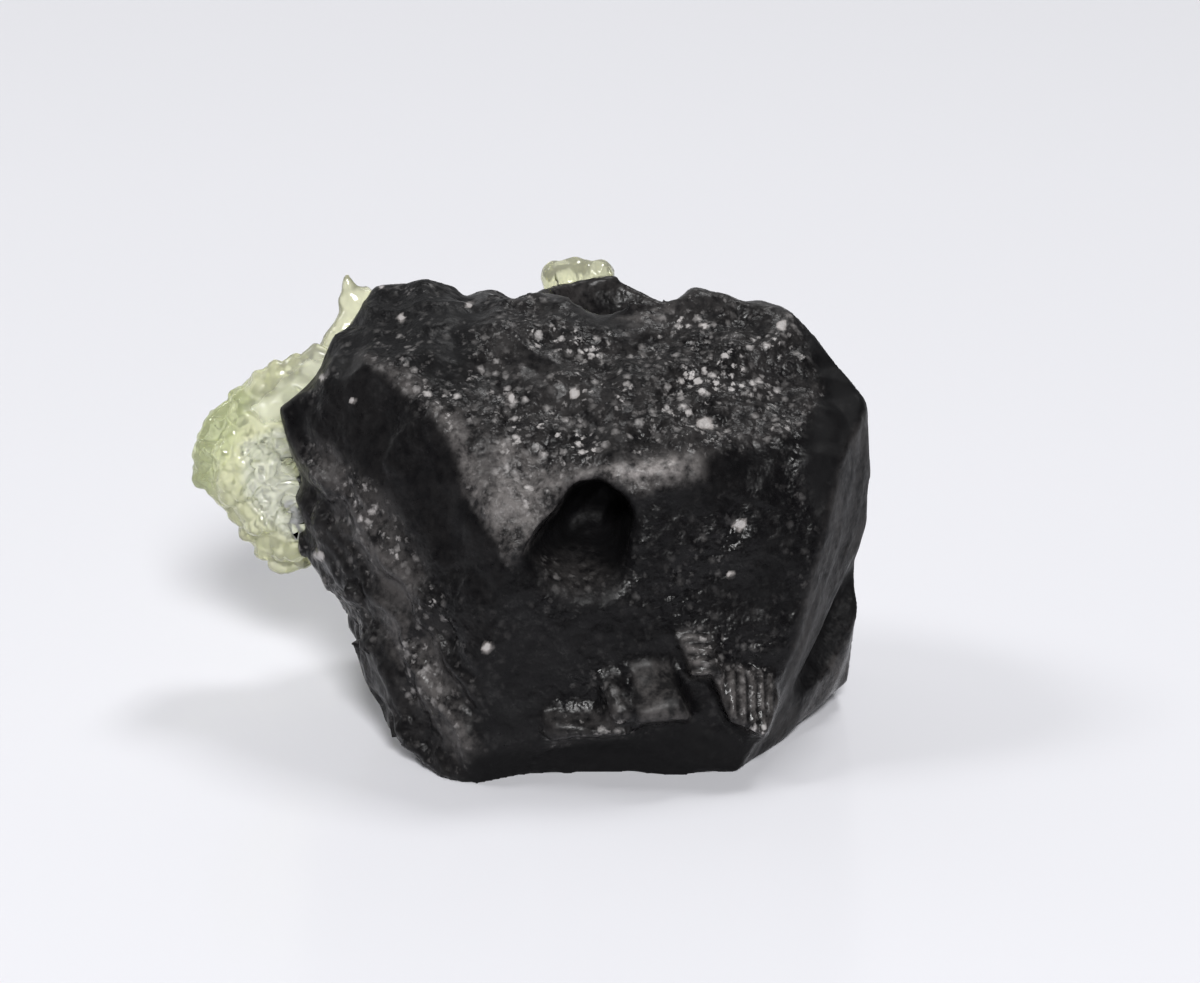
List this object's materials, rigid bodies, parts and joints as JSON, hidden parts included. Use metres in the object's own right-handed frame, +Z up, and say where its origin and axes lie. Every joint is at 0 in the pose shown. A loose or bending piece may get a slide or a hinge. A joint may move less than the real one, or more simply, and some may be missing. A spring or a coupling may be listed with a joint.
{
  "type": "hyalite opal specimen",
  "caption": "Palm-sized mineral specimen: a broken block of black tourmaline with a pale, see-through crust of bubbly hyalite opal on its left and back, resting on a flat break.",
  "frame": {"origin": "a point on the flat break that the specimen rests on, near the middle of its front half", "axes": "+Z up, +X to the right as the specimen is seen from the front along its longest side, +Y away from the viewer"},
  "size_m": [0.0425, 0.0284, 0.0267],
  "materials": {
    "tourmaline": "near-black stone: rough hackly breaks with small glints, smooth dark conchoidal breaks and glossy grooved prism sides",
    "hyalite": "clear to slightly cloudy pale yellow-green opal with a glassy bubbly surface"
  },
  "bodies": {
    "root": {"tourmaline": "tourmaline", "hyalite_crust": "hyalite", "hyalite_knob": "hyalite"}
  },
  "joints": []
}
